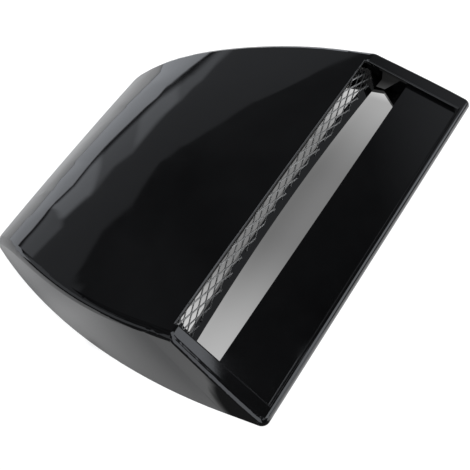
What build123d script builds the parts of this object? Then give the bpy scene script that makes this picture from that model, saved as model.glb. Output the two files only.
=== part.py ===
from build123d import *
import os
from math import atan2, ceil, cos, hypot, radians, sin, tan

# Bonnet scoop: a moulded shell with a raked, recessed mouth, and a strip of expanded mesh behind its lip.
# X runs across, Y runs rearward from the mouth and Z up from the base. Stations run rearward from the front
# edge, and halves run out from the middle line. All sizes are in millimetres.

# Plan at the base: straight sides, then one arc a side to the rear corners
length = 259.5
base_half = 165.7
base_straight_run = 30.0
base_rear_half = 98.0
rear_bow = 1.2
front_corner_radius = 5.0
rear_corner_radius = 11.0

# Plan at the crown level, where the flanks would end if the top were flat, as insets from the base
crown_level = 48.0
crown_front_inset = 9.0
crown_bend_inset = 19.8
crown_straight_run = 115.0
crown_rear_inset = 8.0
crown_rear_setback = 4.0

# Top, in side view and across
lip_setback = 74.0
lip_height = 41.5
crown_fall = 12.6
tail_fall = 26.0
tail_power = 7
lip_bow = 1.2
tail_bow = 12.5
bow_half = 140.0
roof_sections = 15
roof_margin = 10.0

# Wall, flange and rounded edges
wall = 3.0
flange_width = 12.0
flange_thickness = 3.0
front_flange_width = 47.0
base_opening_chamfer = 19.0
shoulder_radius = 6.0
cheek_radius = 4.0
mouth_edge_radius = 1.5
overcut = 3.0

# Mouth: raked face, apron between the cheeks, window and lip
front_edge_height = 3.0
cheek_front_width = 13.7
cheek_lip_inset = 25.7
rim_width = 5.0
apron_recess = 4.0
apron_run = 46.0
lip_face_height = 1.8
lip_return_drop = 6.5
lip_return_lean = 25.0
lip_return_thickness = 1.5

# Mesh and the frame behind it
mesh_tilt = 52.0
mesh_thickness = 1.0
frame_thickness = 3.0
bar_drop = 16.0
bar_height = 7.0
bar_arch = 4.5
grille_end_margin = 7.0
grille_corner_radius = 8.0
mesh_lap = 3.0
mesh_clearance = 0.3
diamond_long = 15.0
diamond_short = 5.5
strand_width = 1.2

os.makedirs("parts", exist_ok=True)

front = -length / 2
mouth_front_half = base_half - cheek_front_width
mouth_lip_half = base_half - cheek_lip_inset
grille_half = mouth_lip_half - grille_end_margin
mesh_half = mouth_lip_half - mesh_clearance
lip_lean = radians(lip_return_lean)
lip_end_height = lip_height - lip_bow * (mouth_lip_half / bow_half) ** 2
lip_face_low = lip_end_height - lip_face_height
rake = atan2(lip_height - front_edge_height, lip_setback)
lip_run = hypot(lip_height - front_edge_height, lip_setback)
apron_setback = apron_run * cos(rake)
mouth_apron_half = mouth_front_half + (mouth_lip_half - mouth_front_half) * apron_setback / lip_setback
opening_half = base_half - flange_width
tolerance = 0.01


def raked(run, depth):
    """Side-view point at a run up the raked face and a depth under it."""
    y = front + run * cos(rake) + depth * sin(rake)
    return y, front_edge_height + run * sin(rake) - depth * cos(rake)


def lip_return(depth, height):
    """Side-view point of the return, at a depth behind its face: it leans back under the upright lip face."""
    lean = max(0, lip_face_low - height) * tan(lip_lean)
    return front + lip_setback + lean + depth, height


def tail_share(station):
    """Share of the way from the lip to the rear edge."""
    return (station - lip_setback) / (length - lip_setback)


def crown_height(station):
    """Height of the top on the middle line: a gentle fall, then a steep one near the rear edge."""
    share = tail_share(station)
    return lip_height - crown_fall * share**2 - tail_fall * share**tail_power


def crown_bow(station):
    """Fall of the top from the middle line to bow_half: it grows rearward and fades out at the rear edge."""
    share = tail_share(station)
    return lip_bow + tail_bow * share * (1 - share**tail_power)


def outline(level, front_half, half, straight_run, rear_half, setback, inset):
    """Plan outline of the shell at one level, drawn inside its true edge by the inset."""
    rear = front + length - setback - inset
    nose = (front_half - inset, front + inset)
    bend = (half - inset, front + straight_run)
    tail = (rear_half - inset, rear - rear_bow)
    with BuildSketch(Plane.XY.offset(level)) as plan:
        with BuildLine():
            side = Line(nose, bend)
            TangentArc(bend, tail, tangent=side % 1)
            mirror(about=Plane.YZ)
            Line((-nose[0], nose[1]), nose)
            ThreePointArc(tail, (0, rear), (-tail[0], tail[1]))
        make_face()
        fillet(plan.vertices().group_by(Axis.Y)[0], front_corner_radius)
        fillet(plan.vertices().group_by(Axis.Y)[-1], rear_corner_radius)
    return plan.sketch


def base_outline(inset):
    """Plan outline at the base."""
    return outline(0, base_half, base_half, base_straight_run, base_rear_half, 0, inset)


def crown_outline(inset):
    """Plan outline at the crown level."""
    front_half = base_half - crown_front_inset
    bend_half = base_half - crown_bend_inset
    rear_half = base_rear_half - crown_rear_inset
    return outline(
        crown_level, front_half, bend_half, crown_straight_run, rear_half, crown_rear_setback, inset
    )


def under_roof(inset):
    """Everything that lies under the crowned top, lowered by the inset."""
    sections = []
    for index in range(roof_sections):
        station = -roof_margin + index * (length + 2 * roof_margin) / (roof_sections - 1)
        crown = crown_height(station) - inset
        edge = crown - crown_bow(station) * (base_half / bow_half) ** 2
        with BuildSketch(Plane.XZ.offset(-front - station)) as section:
            with BuildLine():
                Bezier((-base_half, edge), (0, 2 * crown - edge), (base_half, edge))
                Polyline(
                    (base_half, edge),
                    (base_half, -crown_level),
                    (-base_half, -crown_level),
                    (-base_half, edge),
                )
            make_face()
        sections.append(section.sketch)
    with BuildPart() as roof:
        loft(sections)
    return roof.part


def closed_form(inset):
    """The scoop as a solid block, with its flanks, top and raked face moved in by the inset."""
    roof = under_roof(inset)
    with BuildPart() as form:
        loft([base_outline(inset), crown_outline(inset)])
        add(roof, mode=Mode.INTERSECT)
        split(bisect_by=rake_plane.offset(-inset), keep=Keep.BOTTOM)
    return form.part


def between_cheeks(side_points, margin):
    """The volume over a side profile, from cheek to cheek and the margin into them."""
    with BuildPart() as volume:
        with BuildSketch():
            with BuildLine():
                Polyline(
                    (mouth_front_half + margin, front),
                    (mouth_lip_half + margin, front + lip_setback),
                    (mouth_lip_half + margin, front + length),
                    (-mouth_lip_half - margin, front + length),
                    (-mouth_lip_half - margin, front + lip_setback),
                    (-mouth_front_half - margin, front),
                    close=True,
                )
            make_face()
        extrude(amount=crown_level)
        with BuildSketch(Plane.YZ):
            with BuildLine():
                Polyline(*side_points, close=True)
            make_face()
        extrude(amount=base_half, both=True, mode=Mode.INTERSECT)
    return volume.part


def window_shaft(margin):
    """The volume under the window, flaring from the cheeks down to the flange, the margin wider each side."""
    with BuildPart() as shaft:
        for level, apron_half, lip_half in (
            (0, opening_half, opening_half),
            (lip_height, mouth_apron_half, mouth_lip_half),
        ):
            with BuildSketch(Plane.XY.offset(level)):
                with BuildLine():
                    Polyline(
                        (apron_half + margin, front + apron_setback),
                        (lip_half + margin, front + lip_setback),
                        (-lip_half - margin, front + lip_setback),
                        (-apron_half - margin, front + apron_setback),
                        close=True,
                    )
                make_face()
        loft()
    return shaft.part


def arched_strip(half, low, high):
    """A strip with straight ends and top and an arched lower edge, as the mesh and its frame have."""
    fall = bar_arch * (half / mesh_half) ** 2
    with BuildSketch() as strip:
        with BuildLine():
            ThreePointArc((-half, low - fall), (0, low), (half, low - fall))
            Polyline((half, low - fall), (half, high), (-half, high), (-half, low - fall))
        make_face()
    return strip.sketch


def grille_opening():
    """The opening in the mesh frame, with its upper corners rounded."""
    with BuildSketch() as opening:
        add(arched_strip(grille_half, grille_low, 0))
        fillet(opening.vertices().group_by(Axis.Y)[-1], grille_corner_radius)
    return opening.sketch


def on_mouth_edge(edge):
    """True for the edges of the raked face that run round the mouth, from the rim up both cheeks."""
    middle = rake_plane.to_local_coords(edge @ 0.5)
    on_face = abs(middle.Z) < tolerance
    return on_face and abs(middle.X) < mouth_front_half and rim_width - tolerance < middle.Y < lip_run - wall


def on_lip(edge):
    """True for the edge of the top that runs across over the window."""
    middle = edge @ 0.5
    on_middle_line = abs(middle.X) < tolerance and abs(middle.Y - front - lip_setback) < tolerance
    return on_middle_line and middle.Z > lip_height - wall


rake_plane = Plane((0, *raked(0, 0)), x_dir=(1, 0, 0), z_dir=(0, -sin(rake), cos(rake)))
tilt = radians(mesh_tilt)
mesh_top = (0, *lip_return(lip_return_thickness, lip_height - lip_return_drop))
lip_plane = Plane(mesh_top, x_dir=(1, 0, 0), z_dir=(0, -sin(tilt), cos(tilt)))
mesh_plane = lip_plane.offset(-mesh_clearance)
frame_plane = mesh_plane.offset(-mesh_thickness)
grille_low = bar_height - bar_drop

# Volumes that the mouth takes out of the block or keeps in it; each cut starts clear of the face.
# The walls under the cheeks close the ends of the window, from the raked face down to the flange.
apron_pocket = between_cheeks(
    [
        raked(rim_width, -overcut),
        raked(rim_width, apron_recess),
        raked(apron_run + wall, apron_recess),
        raked(apron_run + wall, -overcut),
    ],
    0,
)
apron_panel = between_cheeks(
    [
        raked(0, 0),
        raked(0, apron_recess + wall),
        raked(apron_run, apron_recess + wall),
        raked(apron_run, 0),
    ],
    wall,
)
window = between_cheeks(
    [
        raked(apron_run, -overcut),
        raked(apron_run, apron_recess + 2 * wall),
        lip_return(0, lip_height - lip_return_drop - wall),
        lip_return(0, lip_face_low),
        lip_return(0, lip_height + overcut),
    ],
    0,
)
with BuildPart() as cheek_walls:
    add(window_shaft(wall))
    add(window_shaft(0), mode=Mode.SUBTRACT)

# Block with the outside of the scoop: rounded edges, and the mouth sunk into its raked face
with BuildPart() as block:
    add(closed_form(0))
    top = block.faces().sort_by(Axis.Z)[-1]
    raked_face = block.faces().filter_by(rake_plane)[0]
    fillet(top.edges() - raked_face.edges(), shoulder_radius)
    raked_face = block.faces().filter_by(rake_plane)[0]
    fillet(raked_face.edges() - raked_face.edges().sort_by(Axis.Z)[-1:], cheek_radius)
    add(apron_pocket, mode=Mode.SUBTRACT)
    add(window, mode=Mode.SUBTRACT)
    mouth_edges = block.edges().filter_by(on_mouth_edge) + block.edges().filter_by(on_lip)
    fillet(mouth_edges, mouth_edge_radius)
inner_form = closed_form(wall)

# Hollow of the shell: its inside, less the apron, the walls under the cheeks, the lip's return and the frame
with BuildPart() as hollow:
    add(inner_form)
    split(bisect_by=Plane.XY.offset(flange_thickness), keep=Keep.TOP)
    add(apron_panel, mode=Mode.SUBTRACT)
    add(cheek_walls.part, mode=Mode.SUBTRACT)
    with BuildSketch(Plane.YZ):
        with BuildLine():
            Polyline(
                lip_return(0, lip_height),
                lip_return(0, lip_face_low),
                lip_return(0, lip_height - lip_return_drop),
                lip_return(lip_return_thickness, lip_height - lip_return_drop),
                lip_return(lip_return_thickness, lip_height),
                close=True,
            )
        make_face()
    extrude(amount=base_half, both=True, mode=Mode.SUBTRACT)
    with BuildSketch(frame_plane):
        add(arched_strip(base_half, -bar_drop, bar_drop))
        add(grille_opening(), mode=Mode.SUBTRACT)
    extrude(amount=-frame_thickness, mode=Mode.SUBTRACT)

# The moulded shell
with BuildPart() as scoop_shell:
    add(block.part)
    add(hollow.part, mode=Mode.SUBTRACT)
    with BuildSketch() as base_opening:
        add(base_outline(flange_width))
        with Locations((0, front)):
            Rectangle(2 * base_half, front_flange_width, align=(Align.CENTER, Align.MIN), mode=Mode.SUBTRACT)
        chamfer(base_opening.vertices().group_by(Axis.Y)[0], base_opening_chamfer)
    extrude(amount=flange_thickness, mode=Mode.SUBTRACT)

scoop_shell.part.label = "scoop_shell"
export_step(scoop_shell.part, "parts/scoop_shell.step")

# The strip of expanded mesh: staggered diamonds, its edges cut through the strands
mesh_end_bow = crown_bow(lip_setback + lip_return_thickness) * (mesh_half / bow_half) ** 2
mesh_rise = (lip_return_drop - wall - mesh_end_bow - mesh_clearance) / sin(tilt)
strand_reach = diamond_long * diamond_short / hypot(diamond_long, diamond_short) / 2
hole_share = 1 - strand_width / 2 / strand_reach
hole_long = hole_share * diamond_long / 2
hole_short = hole_share * diamond_short / 2
columns = 2 * ceil(mesh_half / diamond_long) + 1
rows = 2 * ceil(bar_drop / diamond_short) + 1
with BuildPart() as mesh_grille:
    with BuildSketch(mesh_plane):
        add(arched_strip(mesh_half, grille_low - mesh_lap, mesh_rise))
        with Locations((0, 0), (diamond_long / 2, diamond_short / 2)):
            with GridLocations(diamond_long, diamond_short, columns, rows):
                Polygon(
                    (hole_long, 0), (0, hole_short), (-hole_long, 0), (0, -hole_short), mode=Mode.SUBTRACT
                )
    extrude(amount=-mesh_thickness)

mesh_grille.part.label = "mesh_grille"
export_step(mesh_grille.part, "parts/mesh_grille.step")
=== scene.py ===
import random
from collections import namedtuple
from math import ceil, cos, pi, radians, sin

import bpy
from mathutils import Matrix, Vector


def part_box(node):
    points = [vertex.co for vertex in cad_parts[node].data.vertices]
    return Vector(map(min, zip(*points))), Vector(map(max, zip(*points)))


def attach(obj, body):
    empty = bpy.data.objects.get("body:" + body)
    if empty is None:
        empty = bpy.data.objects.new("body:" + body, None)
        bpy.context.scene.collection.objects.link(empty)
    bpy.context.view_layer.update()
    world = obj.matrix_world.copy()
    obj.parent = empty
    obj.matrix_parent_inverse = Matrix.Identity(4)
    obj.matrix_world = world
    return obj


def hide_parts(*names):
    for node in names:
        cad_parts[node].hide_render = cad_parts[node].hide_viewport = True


# Bonnet scoop: a gloss black moulding with a strip of expanded aluminium behind its lip, on a white table.
# X runs across, Y rearward from the mouth and Z up from the base. All sizes are in metres.

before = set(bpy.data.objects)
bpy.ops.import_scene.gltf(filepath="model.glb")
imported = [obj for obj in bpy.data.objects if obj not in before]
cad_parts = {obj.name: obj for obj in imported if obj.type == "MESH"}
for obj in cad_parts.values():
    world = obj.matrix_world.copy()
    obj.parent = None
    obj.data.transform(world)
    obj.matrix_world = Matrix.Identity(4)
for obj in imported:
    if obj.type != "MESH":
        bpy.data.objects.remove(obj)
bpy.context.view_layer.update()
mm = 0.001

# Camera at the photograph's angle
camera_place = Vector((-0.6080, -0.45515, 0.7238))
camera_right = Vector((0.4811, -0.8680, -0.1226))
camera_up = Vector((0.6657, 0.2707, 0.6954))
camera_lens = 110.4
camera_sensor = 36.0

# Noise textures and bumps. Where a noise is spread over a range, such as that of a roughness,
# its low and high values are the ends of the range.
Grain = namedtuple("Grain", "scale detail")
Bump = namedtuple("Bump", "strength distance")
noise_low = 0.3
noise_high = 0.7

# Gloss black moulding under a clear gloss
black_deep = (0.0016, 0.0016, 0.0018, 1)
black_hazy = (0.0030, 0.0030, 0.0032, 1)
black_roughness = (0.03, 0.07)
black_ior = 1.55
gloss_ior = 1.65
gloss_roughness = 0.03
wave_grain = Grain(28, 2)
wave_bump = Bump(0.05, 0.4 * mm)
peel_grain = Grain(900, 2)
peel_bump = Bump(0.05, 0.02 * mm)
haze_grain = Grain(60, 4)

# Bare aluminium
metal_dull = (0.50, 0.50, 0.49, 1)
metal_clean = (0.80, 0.80, 0.79, 1)
metal_roughness = (0.25, 0.5)
speck_grain = Grain(700, 4)
speck_bump = Bump(0.2, 0.05 * mm)
patch_grain = Grain(90, 3)

# Expanded mesh: its sheet lies as the solid one does. Its rows follow the lip's arch and slope a little,
# and at the bottom the strands are cut off short or long by random amounts.
mesh_tilt = radians(52)
mesh_sheet = 1.0 * mm
mesh_arch = 4.5 * mm
diamond_long = 14.4 * mm
diamond_short = 4.9 * mm
strand_width = 0.95 * mm
strand_thickness = 0.5 * mm
row_slope = -0.037
strand_twist = radians(16)
knuckle_share = 0.2
samples_per_diamond = 20
cut_short = 0.9 * mm
cut_long = 0.3 * mm
cut_seed = 7

# Table: its glow makes it white. It lies just under the flange, so that the two faces don't coincide.
table_half = 6.0
table_drop = 0.2 * mm
table_tint = (0.55, 0.60)
table_grain = Grain(12, 3)
table_glow = 0.60

# Painted shade: under the front of the object the table's colour and glow are darker, least so at the ends
# and behind the mesh. Reflections show only a share of that brightness.
Shade = namedtuple("Shade", "near far middle ends")
slot_shade = Shade(0.03, 0.16, 0.155, 0.44)
mesh_shade = Shade(0.06, 0.14, 0.205, 0.61)
shade_centre = 0.02
shade_mirrored = 0.15
under_shade_tint = 0.04
under_half = 0.15
under_front = -0.120
under_rear = 0.020
under_side_soft = 0.05
under_end_soft = 0.15
mesh_line = -0.0445
mesh_line_bend = 0.255
mesh_line_soft = 3 * mm

# Painted reflections: the table's glow in reflections fades away from the left flank, towards the rear and
# in front of the object
side_near = -0.160
side_far = -0.215
side_near_share = 0.58
side_far_share = 0.10
rear_near = 0.040
rear_far = 0.085
rear_far_glow = 0.05
front_near = -0.132
front_far = -0.150

# Painted dark reflection: beside the left flank's front corner the table is dark in reflections, but white
# to the camera.
# That part lies left of dark_edge and past a slanted line, which runs through dark_place;
# dark_side points away from the line into the dark.
dark_reflection_tint = 0.06
dark_camera_glow = 1.0
dark_side = Vector((-0.80, -0.60))
dark_place = Vector((-0.184, -0.078))
dark_soft = 3 * mm
dark_edge = -0.158

# Walls, windows and cards of the room as the object sees them: compass angles from the rear towards +X,
# height angles and soft edges in degrees, and brightness, where 1 is white. A panel that falls is lower by
# that much at the top for each degree past the place where the falling starts.
Panel = namedtuple("Panel", "left right low high edge brightness fall", defaults=(0.0,))
room_tint = (0.93, 0.97, 1.04, 1)
room_dark = 0.008
room_haze = 0.045
room_grain = Grain(5, 3)
half_turn = 180
fall_start = 40
room_panels = {
    "rear_wall": Panel(-8, 75, -12, 15.3, 1.0, 0.72),
    "rear_curtain": Panel(22.5, 58, 17.5, 29.3, 3.0, 0.29, 0.85),
    "curtain_fold": Panel(28, 35, 17.0, 28.8, 3.0, 0.54),
    "second_fold": Panel(39.5, 46.5, 17.5, 29.0, 3.5, 0.42, 0.85),
    "rear_ceiling": Panel(-30, 60, 20, 39.5, 0.8, 0.11, 0.45),
    "left_wall": Panel(-75, 5, 11, 31, 4.0, 0.26),
    "left_window": Panel(-118, -78, 2, 70, 4.0, 0.78),
    "right_window": Panel(116, 129.2, 50.25, 70, 0.3, 0.95),
    "front_card": Panel(128.6, 148.6, 15.2, 46.6, 1.0, 1.0),
    "front_wall": Panel(126, 150, 5, 20, 1.0, 0.14),
    "front_low": Panel(146, 165, -12, 10.4, 1.6, 0.95),
    "front_window": Panel(152, 214, 38, 57, 5.0, 0.45),
    "right_wall": Panel(95, 132, 24, 41, 6.0, 0.15),
    "ceiling": Panel(-200, 200, 68.5, 110, 2.0, 0.80),
}

# Key light over the object; reflections show the room's ceiling in its place
key_height = 2.5
key_size = 1.9
key_radiance = 4.6


def new_material(name):
    """A new material, with its nodes and links."""
    material = bpy.data.materials.new(name)
    material.use_nodes = True
    return material, material.node_tree.nodes, material.node_tree.links


def noise(nodes, links, grain, coordinate):
    """The values of a noise texture on the given coordinates."""
    texture = nodes.new("ShaderNodeTexNoise")
    texture.inputs["Scale"].default_value = grain.scale
    texture.inputs["Detail"].default_value = grain.detail
    links.new(coordinate, texture.inputs["Vector"])
    return texture.outputs["Fac"]


def spread(nodes, links, value, low, high):
    """Maps a noise value to a range."""
    node = nodes.new("ShaderNodeMapRange")
    node.inputs["From Min"].default_value = noise_low
    node.inputs["From Max"].default_value = noise_high
    node.inputs["To Min"].default_value = low
    node.inputs["To Max"].default_value = high
    links.new(value, node.inputs["Value"])
    return node.outputs["Result"]


def bumped(nodes, links, height, size, normal=None):
    """A bump from a height value, on top of another one where given."""
    bump = nodes.new("ShaderNodeBump")
    bump.inputs["Strength"].default_value = size.strength
    bump.inputs["Distance"].default_value = size.distance
    links.new(height, bump.inputs["Height"])
    if normal:
        links.new(normal, bump.inputs["Normal"])
    return bump.outputs["Normal"]


def math_node(nodes, links, operation, *values):
    """The result of a math node on sockets and plain numbers."""
    node = nodes.new("ShaderNodeMath")
    node.operation = operation
    for socket, value in zip(node.inputs, values):
        if isinstance(value, (int, float)):
            socket.default_value = value
        else:
            links.new(value, socket)
    return node.outputs[0]


def faded(nodes, links, value, start, end, low=1.0, high=0.0):
    """A smooth change from one number to another as a value goes from start to end."""
    node = nodes.new("ShaderNodeMapRange")
    node.interpolation_type = "SMOOTHSTEP"
    node.inputs["From Min"].default_value = start
    node.inputs["From Max"].default_value = end
    node.inputs["To Min"].default_value = low
    node.inputs["To Max"].default_value = high
    links.new(value, node.inputs["Value"])
    return node.outputs["Result"]


def blended(nodes, links, factor, first, second):
    """A number between two, each a socket or a plain number."""
    node = nodes.new("ShaderNodeMapRange")
    links.new(factor, node.inputs["Value"])
    for name, value in (("To Min", first), ("To Max", second)):
        if isinstance(value, float):
            node.inputs[name].default_value = value
        else:
            links.new(value, node.inputs[name])
    return node.outputs["Result"]


def mixed(nodes, links, factor, first, second):
    """A colour between two, each a socket, a colour or a grey."""
    node = nodes.new("ShaderNodeMix")
    node.data_type = "RGBA"
    links.new(factor, node.inputs["Factor"])
    for name, colour in (("A", first), ("B", second)):
        if isinstance(colour, float):
            colour = (colour, colour, colour, 1)
        if isinstance(colour, tuple):
            node.inputs[name].default_value = colour
        else:
            links.new(colour, node.inputs[name])
    return node.outputs["Result"]


def gloss_black():
    """Black moulding with a clear gloss: faint waves in the mirror, orange peel and hazy patches."""
    material, nodes, links = new_material("gloss_black")
    shader = nodes["Principled BSDF"]
    place = nodes.new("ShaderNodeTexCoord").outputs["Object"]
    waves = noise(nodes, links, wave_grain, place)
    peel = noise(nodes, links, peel_grain, place)
    haze = noise(nodes, links, haze_grain, place)
    links.new(mixed(nodes, links, haze, black_deep, black_hazy), shader.inputs["Base Color"])
    links.new(spread(nodes, links, haze, *black_roughness), shader.inputs["Roughness"])
    shader.inputs["IOR"].default_value = black_ior
    shader.inputs["Coat Weight"].default_value = 1.0
    shader.inputs["Coat IOR"].default_value = gloss_ior
    shader.inputs["Coat Roughness"].default_value = gloss_roughness
    wavy = bumped(nodes, links, waves, wave_bump)
    skin = bumped(nodes, links, peel, peel_bump, wavy)
    links.new(skin, shader.inputs["Normal"])
    links.new(skin, shader.inputs["Coat Normal"])
    return material


def bare_mesh():
    """Bare aluminium: fine specks in its finish, dull patches and a faint bump."""
    material, nodes, links = new_material("bare_mesh")
    shader = nodes["Principled BSDF"]
    place = nodes.new("ShaderNodeTexCoord").outputs["Object"]
    specks = noise(nodes, links, speck_grain, place)
    patches = noise(nodes, links, patch_grain, place)
    links.new(mixed(nodes, links, patches, metal_dull, metal_clean), shader.inputs["Base Color"])
    links.new(spread(nodes, links, specks, *metal_roughness), shader.inputs["Roughness"])
    shader.inputs["Metallic"].default_value = 1.0
    links.new(bumped(nodes, links, specks, speck_bump), shader.inputs["Normal"])
    return material


def zigzag(x):
    """A strand's wave across the strip, from -1 to 1, flat at the knuckles."""
    phase = (x / diamond_long) % 1.0
    ramp = 4 * abs(phase - 0.5) - 1
    return max(-1.0, min(1.0, ramp / (1 - knuckle_share)))


def strand_ring(x, half, row, side):
    """A strand's section at x: its centre down the sheet, and its corners down the sheet and out of it."""
    wave = side * zigzag(x)
    reach = strand_width / 2
    down = (row + 0.5) * diamond_short / 2 - wave * (diamond_short / 4 - reach * cos(strand_twist))
    down += row_slope * x + mesh_arch * (x / half) ** 2
    out = -wave * reach * sin(strand_twist)
    corners = []
    for along, over in ((-1, -1), (1, -1), (1, 1), (-1, 1)):
        corner_down = -along * reach * cos(strand_twist) + over * strand_thickness / 2 * sin(strand_twist)
        corner_out = along * reach * sin(strand_twist) + over * strand_thickness / 2 * cos(strand_twist)
        corners.append((down + corner_down, out + corner_out))
    return down, corners


def add_run(rings, vertices, faces):
    """One closed length of strand through a list of four-cornered rings; a lone ring has no length."""
    if len(rings) < 2:
        return
    corners = len(rings[0])
    first = len(vertices)
    for ring in rings:
        vertices.extend(ring)
    last = len(vertices) - corners
    faces.append(tuple(first + i for i in reversed(range(corners))))
    for start in range(first, last, corners):
        for i in range(corners):
            j = (i + 1) % corners
            faces.append((start + i, start + j, start + corners + j, start + corners + i))
    faces.append(tuple(last + i for i in range(corners)))


def mesh_strands():
    """The expanded mesh: rows of zigzag strands that meet at knuckles, with a ragged cut at the bottom."""
    low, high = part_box("mesh_grille")
    half = high.x
    height = (high.z - low.z - mesh_sheet * cos(mesh_tilt)) / sin(mesh_tilt)
    top = Vector((0, high.y - mesh_sheet * sin(mesh_tilt), high.z))
    down_way = Vector((0, -cos(mesh_tilt), -sin(mesh_tilt)))
    out_way = Vector((0, -sin(mesh_tilt), cos(mesh_tilt)))
    middle = strand_width * sin(strand_twist) + strand_thickness / 2 * cos(strand_twist) - mesh_sheet
    draw = random.Random(cut_seed)
    step = diamond_long / samples_per_diamond
    count = int(2 * half / step)
    vertices, faces = [], []
    last_row = ceil((height + abs(row_slope) * half) / (diamond_short / 2))
    first_row = -ceil((mesh_arch + abs(row_slope) * half) / (diamond_short / 2))
    for row in range(first_row, last_row + 1):
        side = 1 if row % 2 else -1
        ragged = 0.0
        rings = []
        for index in range(count + 1):
            x = -half + index * step
            if index % (samples_per_diamond // 2) == 0:
                ragged = draw.uniform(-cut_short, cut_long)
            bottom = height - mesh_arch * (1 - (x / half) ** 2) + ragged
            down, corners = strand_ring(x, half, row, side)
            if down < 0 or down > bottom:
                add_run(rings, vertices, faces)
                rings = []
                continue
            centre = top + Vector((x, 0, 0))
            rings.append([centre + down_way * below + out_way * (out + middle) for below, out in corners])
        add_run(rings, vertices, faces)
    mesh = bpy.data.meshes.new("mesh_strands")
    mesh.from_pydata(vertices, [], faces)
    mesh.update()
    piece = bpy.data.objects.new("mesh_strands", mesh)
    bpy.context.scene.collection.objects.link(piece)
    return piece


def under_object(nodes, links, axes):
    """Mask of the painted shade: 1 on the table under the front of the object, and 0 away from there."""
    side = math_node(nodes, links, "ABSOLUTE", axes.outputs["X"])
    depth = math_node(nodes, links, "SUBTRACT", axes.outputs["Y"], (under_front + under_rear) / 2)
    depth = math_node(nodes, links, "ABSOLUTE", depth)
    half = (under_rear - under_front) / 2
    inner = under_half * (1 - under_side_soft)
    outer = under_half * (1 + under_side_soft)
    across = faded(nodes, links, side, inner, outer)
    along = faded(nodes, links, depth, half * (1 - under_end_soft), half)
    return math_node(nodes, links, "MULTIPLY", across, along)


def painted_shade_glow(nodes, links, axes):
    """Painted shade: the table's glow under the object, darker in the middle, lighter behind the mesh."""
    offset = math_node(nodes, links, "SUBTRACT", axes.outputs["X"], shade_centre)
    side = math_node(nodes, links, "ABSOLUTE", offset)
    slot, mesh = (faded(nodes, links, side, *shade) for shade in (slot_shade, mesh_shade))
    square = math_node(nodes, links, "MULTIPLY", axes.outputs["X"], axes.outputs["X"])
    bend = math_node(nodes, links, "MULTIPLY", square, mesh_line_bend)
    depth = math_node(nodes, links, "ADD", axes.outputs["Y"], bend)
    behind = faded(nodes, links, depth, mesh_line - mesh_line_soft, mesh_line + mesh_line_soft, 0.0, 1.0)
    return blended(nodes, links, behind, slot, mesh)


def dark_reflection_part(nodes, links, axes):
    """Mask of the painted dark reflection: 1 on the dark part of the table, past a slanted line beside the
    left flank.
    """
    across = math_node(nodes, links, "SUBTRACT", axes.outputs["X"], dark_place.x)
    along = math_node(nodes, links, "SUBTRACT", axes.outputs["Y"], dark_place.y)
    across = math_node(nodes, links, "MULTIPLY", across, dark_side.x)
    along = math_node(nodes, links, "MULTIPLY", along, dark_side.y)
    past = math_node(nodes, links, "ADD", across, along)
    beyond = faded(nodes, links, past, -dark_soft, dark_soft, 0.0, 1.0)
    beside = faded(nodes, links, axes.outputs["X"], dark_edge - dark_soft, dark_edge + dark_soft)
    return math_node(nodes, links, "MULTIPLY", beyond, beside)


def mirrored_glow(nodes, links, axes):
    """Painted reflections: the table's glow in reflections, outside the parts under the object and in the
    dark.
    """
    side = faded(nodes, links, axes.outputs["X"], side_far, side_near, side_far_share, side_near_share)
    rear = faded(nodes, links, axes.outputs["Y"], rear_near, rear_far, table_glow, rear_far_glow)
    front = faded(nodes, links, axes.outputs["Y"], front_far, front_near, 0.0, 1.0)
    ends = math_node(nodes, links, "MULTIPLY", rear, front)
    return math_node(nodes, links, "MULTIPLY", side, ends)


def table_material():
    """White table: it takes the object's shadow, looks white to the camera, has painted shade under the
    object and painted reflections.
    """
    material, nodes, links = new_material("table")
    shader = nodes["Principled BSDF"]
    place = nodes.new("ShaderNodeTexCoord").outputs["Object"]
    axes = nodes.new("ShaderNodeSeparateXYZ")
    links.new(place, axes.inputs[0])
    under = under_object(nodes, links, axes)
    dark = dark_reflection_part(nodes, links, axes)
    tint = mixed(nodes, links, noise(nodes, links, table_grain, place), *table_tint)
    # Painted shade in the colour: darker under the front of the object
    tint = mixed(nodes, links, under, tint, under_shade_tint)
    # Painted dark reflection: the part beside the left flank's front corner is dark in colour
    tint = mixed(nodes, links, dark, tint, dark_reflection_tint)
    links.new(tint, shader.inputs["Base Color"])
    shader.inputs["Roughness"].default_value = 1.0
    shader.inputs["Specular IOR Level"].default_value = 0.0
    # Painted shade in the glow: under the object the camera sees a darker glow, and reflections a share of
    # it
    shade = painted_shade_glow(nodes, links, axes)
    camera_glow = blended(nodes, links, under, table_glow, shade)
    # There the camera still sees white, while reflections show that part black
    camera_glow = blended(nodes, links, dark, camera_glow, dark_camera_glow)
    # Painted reflections: reflections see their own glow, shaped by place, not the camera's white
    mirror_shade = math_node(nodes, links, "MULTIPLY", shade, shade_mirrored)
    mirror_glow = blended(nodes, links, under, mirrored_glow(nodes, links, axes), mirror_shade)
    mirror_glow = blended(nodes, links, dark, mirror_glow, 0.0)
    rays = nodes.new("ShaderNodeLightPath")
    glossy, clear = rays.outputs["Is Glossy Ray"], rays.outputs["Is Transmission Ray"]
    mirrored = math_node(nodes, links, "MAXIMUM", glossy, clear)
    seen = math_node(nodes, links, "MULTIPLY", rays.outputs["Is Camera Ray"], camera_glow)
    shown = math_node(nodes, links, "MULTIPLY", mirrored, mirror_glow)
    shader.inputs["Emission Color"].default_value = (1, 1, 1, 1)
    links.new(math_node(nodes, links, "ADD", seen, shown), shader.inputs["Emission Strength"])
    return material


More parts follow.
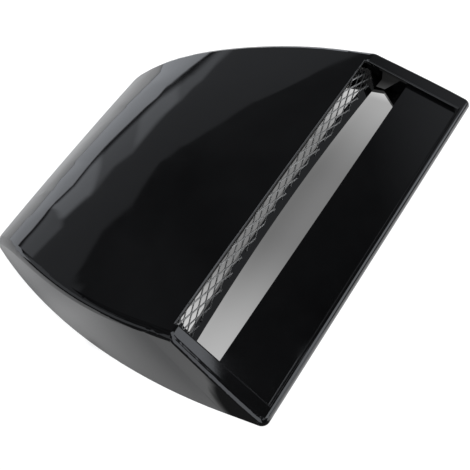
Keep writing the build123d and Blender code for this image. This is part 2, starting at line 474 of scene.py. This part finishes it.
def add_table():
    """A wide white table under the object."""
    mesh = bpy.data.meshes.new("table")
    half = table_half
    corners = [(-half, -half, 0), (half, -half, 0), (half, half, 0), (-half, half, 0)]
    mesh.from_pydata(corners, [], [(0, 1, 2, 3)])
    table = bpy.data.objects.new("table", mesh)
    table.location.z = -table_drop
    bpy.context.scene.collection.objects.link(table)
    mesh.materials.append(table_material())


def add_key():
    """A square softbox straight over the object."""
    data = bpy.data.lights.new("key", "AREA")
    data.size = key_size
    data.energy = key_radiance * pi * key_size**2
    light = bpy.data.objects.new("key", data)
    light.location = (0, 0, key_height)
    light.visible_glossy = False
    bpy.context.scene.collection.objects.link(light)


def panel_light(nodes, links, azimuth, elevation, panel):
    """Brightness of one panel of the room, with soft edges, by compass angle and height angle."""
    offset = math_node(nodes, links, "SUBTRACT", azimuth, (panel.left + panel.right) / 2)
    turned = math_node(nodes, links, "WRAP", offset, half_turn, -half_turn)
    side = math_node(nodes, links, "ABSOLUTE", turned)
    half = (panel.right - panel.left) / 2
    soft = panel.edge / 2
    across = faded(nodes, links, side, half - soft, half + soft)
    over = faded(nodes, links, elevation, panel.low - soft, panel.low + soft, 0.0, 1.0)
    past = math_node(nodes, links, "SUBTRACT", azimuth, fall_start)
    past = math_node(nodes, links, "MAXIMUM", past, 0)
    top = math_node(nodes, links, "MULTIPLY_ADD", past, panel.fall, elevation)
    under = faded(nodes, links, top, panel.high - soft, panel.high + soft)
    between = math_node(nodes, links, "MULTIPLY", over, under)
    shape = math_node(nodes, links, "MULTIPLY", across, between)
    return math_node(nodes, links, "MULTIPLY", shape, panel.brightness)


def add_world():
    """A dim room with lit walls, windows and cards."""
    world = bpy.data.worlds.new("room")
    world.use_nodes = True
    nodes, links = world.node_tree.nodes, world.node_tree.links
    way = nodes.new("ShaderNodeTexCoord").outputs["Generated"]
    axes = nodes.new("ShaderNodeSeparateXYZ")
    links.new(way, axes.inputs[0])
    turn = math_node(nodes, links, "ARCTAN2", axes.outputs["X"], axes.outputs["Y"])
    azimuth = math_node(nodes, links, "DEGREES", turn)
    rise = math_node(nodes, links, "ARCSINE", axes.outputs["Z"])
    elevation = math_node(nodes, links, "DEGREES", rise)
    light = spread(nodes, links, noise(nodes, links, room_grain, way), room_dark, room_haze)
    for panel in room_panels.values():
        lit = panel_light(nodes, links, azimuth, elevation, panel)
        light = math_node(nodes, links, "MAXIMUM", light, lit)
    background = nodes["Background"]
    background.inputs["Color"].default_value = room_tint
    links.new(light, background.inputs["Strength"])
    bpy.context.scene.world = world


def add_camera():
    """The photograph's camera."""
    data = bpy.data.cameras.new("camera")
    data.lens = camera_lens
    data.sensor_width = camera_sensor
    camera = bpy.data.objects.new("camera", data)
    bpy.context.scene.collection.objects.link(camera)
    right = camera_right.normalized()
    back = right.cross(camera_up).normalized()
    up = back.cross(right)
    turn = Matrix((right, up, back)).transposed().to_4x4()
    camera.matrix_world = Matrix.Translation(camera_place) @ turn
    bpy.context.scene.camera = camera


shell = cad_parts["scoop_shell"]
shell.data.materials.clear()
shell.data.materials.append(gloss_black())

strands = mesh_strands()
strands.data.materials.append(bare_mesh())
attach(strands, "root")
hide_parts("mesh_grille")

add_table()
add_world()
add_key()
add_camera()
bpy.context.scene.view_settings.view_transform = "Standard"
